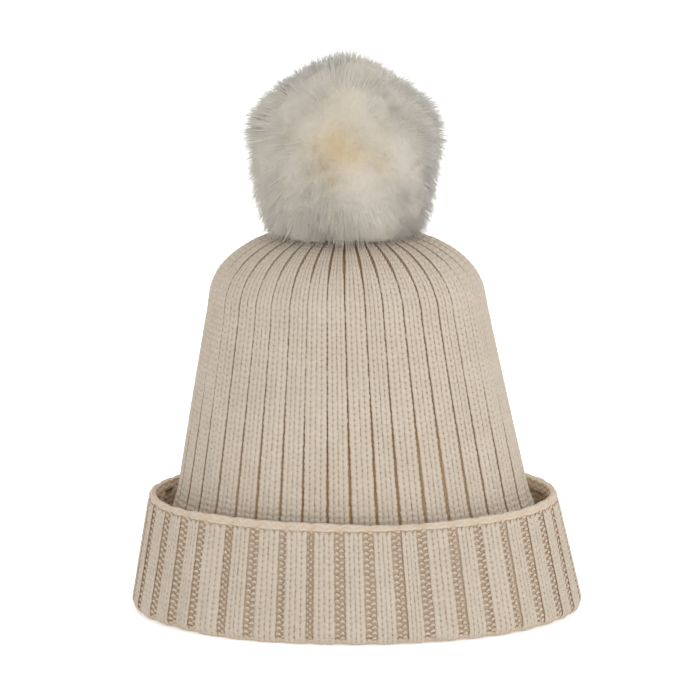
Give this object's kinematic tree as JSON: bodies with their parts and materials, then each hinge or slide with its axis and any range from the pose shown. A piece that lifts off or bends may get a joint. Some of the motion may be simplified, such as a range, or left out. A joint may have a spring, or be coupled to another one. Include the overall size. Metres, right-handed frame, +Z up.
{
  "type": "pom pom beanie",
  "caption": "Cuffed rib-knit winter hat with a faux fur pompom on a flexible tie, an open head space, and a blank label sewn inside the back.",
  "frame": {"origin": "middle of the rim that the hat stands on, at the height of the rim", "axes": "+Z up through the crown, +X to the wearer's left across the width, -Y towards the front"},
  "size_m": [0.222, 0.168, 0.274],
  "materials": {
    "crown_knit": "soft brushed acrylic rib knit, matt with a faint fuzz",
    "cuff_knit": "soft brushed acrylic rib knit, wrong side out, matt",
    "seam_thread": "spun thread, matt",
    "gather_yarn": "spun acrylic yarn, matt",
    "button": "moulded, satin",
    "cord": "twisted cord, matt",
    "label": "woven satin, soft sheen",
    "fur": "long-pile faux fur, soft sheen along the hairs",
    "backing": "tricot backing cloth, matt",
    "filling": "loose polyester wadding, matt"
  },
  "bodies": {
    "hat": {"crown_tube": "crown_knit", "turned_cuff": "cuff_knit", "back_seam": "seam_thread", "cuff_seam": "seam_thread", "gather_yarn": "gather_yarn", "inner_button": "button", "tie_knot": "cord", "label_stitches": "seam_thread"},
    "label": {"care_label": "label"},
    "shank": {"tie_shank": "cord"},
    "tie": {"tie_loop": "cord", "anchor_button": "button"},
    "pompom": {"fur_pile": "fur", "fur_backing": "backing", "stuffing": "filling", "drawstring": "cord"}
  },
  "joints": [
    {"name": "pompom_nod", "type": "hinge", "parent": "hat", "child": "shank", "pos_m": [-0.0055, 0, 0.1886], "axis": [1, 0, 0], "range_deg": [-15, 15], "stiffness_Nm_per_rad": 0.12},
    {"name": "pompom_sway", "type": "hinge", "parent": "shank", "child": "tie", "pos_m": [-0.0055, 0, 0.1886], "axis": [0, 1, 0], "range_deg": [-15, 15], "stiffness_Nm_per_rad": 0.12},
    {"name": "pompom_twist", "type": "hinge", "parent": "tie", "child": "pompom", "pos_m": [-0.0055, 0, 0.1886], "axis": [0, 0, 1], "range_deg": [-90, 90], "stiffness_Nm_per_rad": 0.003},
    {"name": "label_swing", "type": "hinge", "parent": "hat", "child": "label", "pos_m": [-0.00236, 0.06119, 0.066], "axis": [0, -0.1134, 0.9936], "range_deg": [0, 160]}
  ]
}
